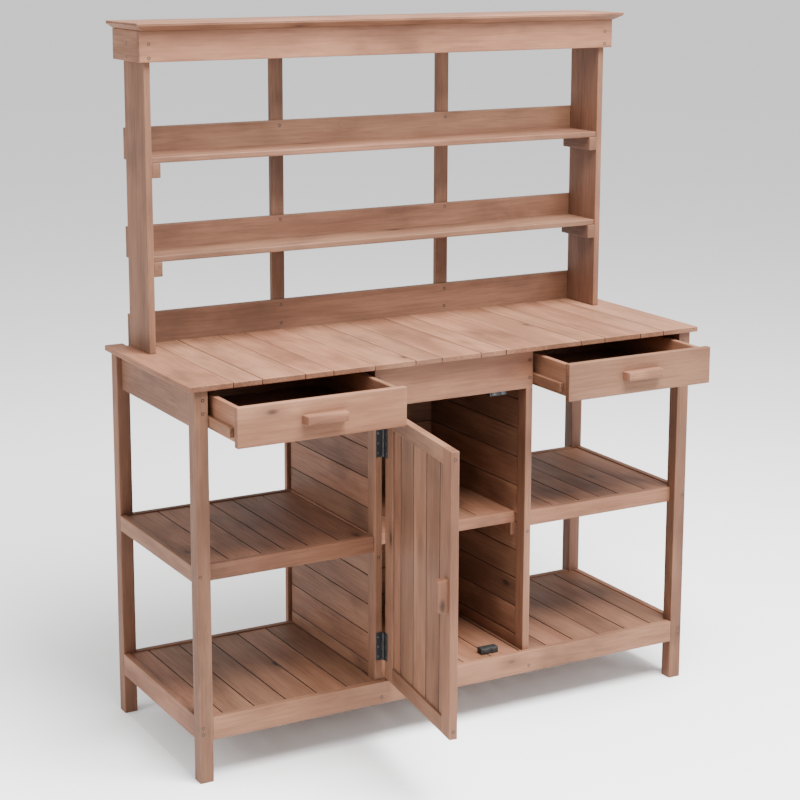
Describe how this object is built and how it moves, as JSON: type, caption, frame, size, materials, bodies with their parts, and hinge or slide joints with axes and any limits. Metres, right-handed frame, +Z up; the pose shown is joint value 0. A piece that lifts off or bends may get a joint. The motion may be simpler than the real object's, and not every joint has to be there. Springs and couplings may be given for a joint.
{
  "type": "potting bench",
  "caption": "Wooden potting bench: worktop on a frame with pull-out drawers, open side shelves, a hinged-door cupboard and a shelved hutch above.",
  "frame": {"origin": "bottom centre of the whole bench at rest, on the floor, halfway between the hutch's back and the open door's free edge", "axes": "+X to the right seen from the front, +Y towards the back with the hutch, +Z up"},
  "size_m": [1.3, 0.8206, 1.592],
  "materials": {
    "stained_wood": "satin",
    "black_steel": "satin",
    "zinc_steel": "satin",
    "black_plastic": "matte"
  },
  "bodies": {
    "bench": {"back_apron": "stained_wood", "bottom_rail_back": "stained_wood", "bottom_rail_front": "stained_wood", "bottom_shelf": "stained_wood", "bottom_side_rails": "stained_wood", "cabinet_back": "stained_wood", "cabinet_back_posts": "stained_wood", "cabinet_post_left": "stained_wood", "cabinet_post_right": "stained_wood", "cabinet_shelf": "stained_wood", "cabinet_shelf_cleats": "stained_wood", "cabinet_side_left": "stained_wood", "cabinet_side_right": "stained_wood", "cabinet_top_rail": "stained_wood", "centre_panel": "stained_wood", "door_catches": "black_plastic", "drawer_guides": "stained_wood", "frame_screws": "zinc_steel", "hinge_leaves_post": "black_steel", "hinge_pins": "black_steel", "hutch_aprons": "stained_wood", "hutch_cap": "stained_wood", "hutch_rail_lower": "stained_wood", "hutch_rail_middle": "stained_wood", "hutch_rail_upper": "stained_wood", "hutch_shelf_cleats": "stained_wood", "hutch_shelf_lower": "stained_wood", "hutch_shelf_upper": "stained_wood", "hutch_slats": "stained_wood", "hutch_upright_left": "stained_wood", "hutch_upright_right": "stained_wood", "leg_back_left": "stained_wood", "leg_back_right": "stained_wood", "leg_front_left": "stained_wood", "leg_front_right": "stained_wood", "mid_frame_left": "stained_wood", "mid_frame_right": "stained_wood", "mid_shelf_left": "stained_wood", "mid_shelf_right": "stained_wood", "side_aprons": "stained_wood", "support_battens": "stained_wood", "worktop_left": "stained_wood", "worktop_middle": "stained_wood", "worktop_right": "stained_wood"},
    "left_drawer": {"left_drawer_base": "stained_wood", "left_drawer_box": "stained_wood", "left_drawer_front": "stained_wood", "left_drawer_handle": "stained_wood", "left_drawer_runners": "stained_wood"},
    "right_drawer": {"right_drawer_base": "stained_wood", "right_drawer_box": "stained_wood", "right_drawer_front": "stained_wood", "right_drawer_handle": "stained_wood", "right_drawer_runners": "stained_wood"},
    "door": {"door_boards": "stained_wood", "door_frame": "stained_wood", "door_handle": "stained_wood", "door_screws": "zinc_steel", "door_strikes": "zinc_steel", "hinge_leaves_door": "black_steel"}
  },
  "joints": [
    {"name": "left_drawer_slide", "type": "slide", "parent": "bench", "child": "left_drawer", "axis": [0, -1, 0], "range_m": [-0.148, 0.1]},
    {"name": "right_drawer_slide", "type": "slide", "parent": "bench", "child": "right_drawer", "axis": [0, -1, 0], "range_m": [-0.137, 0.1]},
    {"name": "door_hinge", "type": "hinge", "parent": "bench", "child": "door", "pos_m": [-0.18475, -0.04312, 0.15], "axis": [0, 0, -1], "range_deg": [-98, 67]}
  ]
}
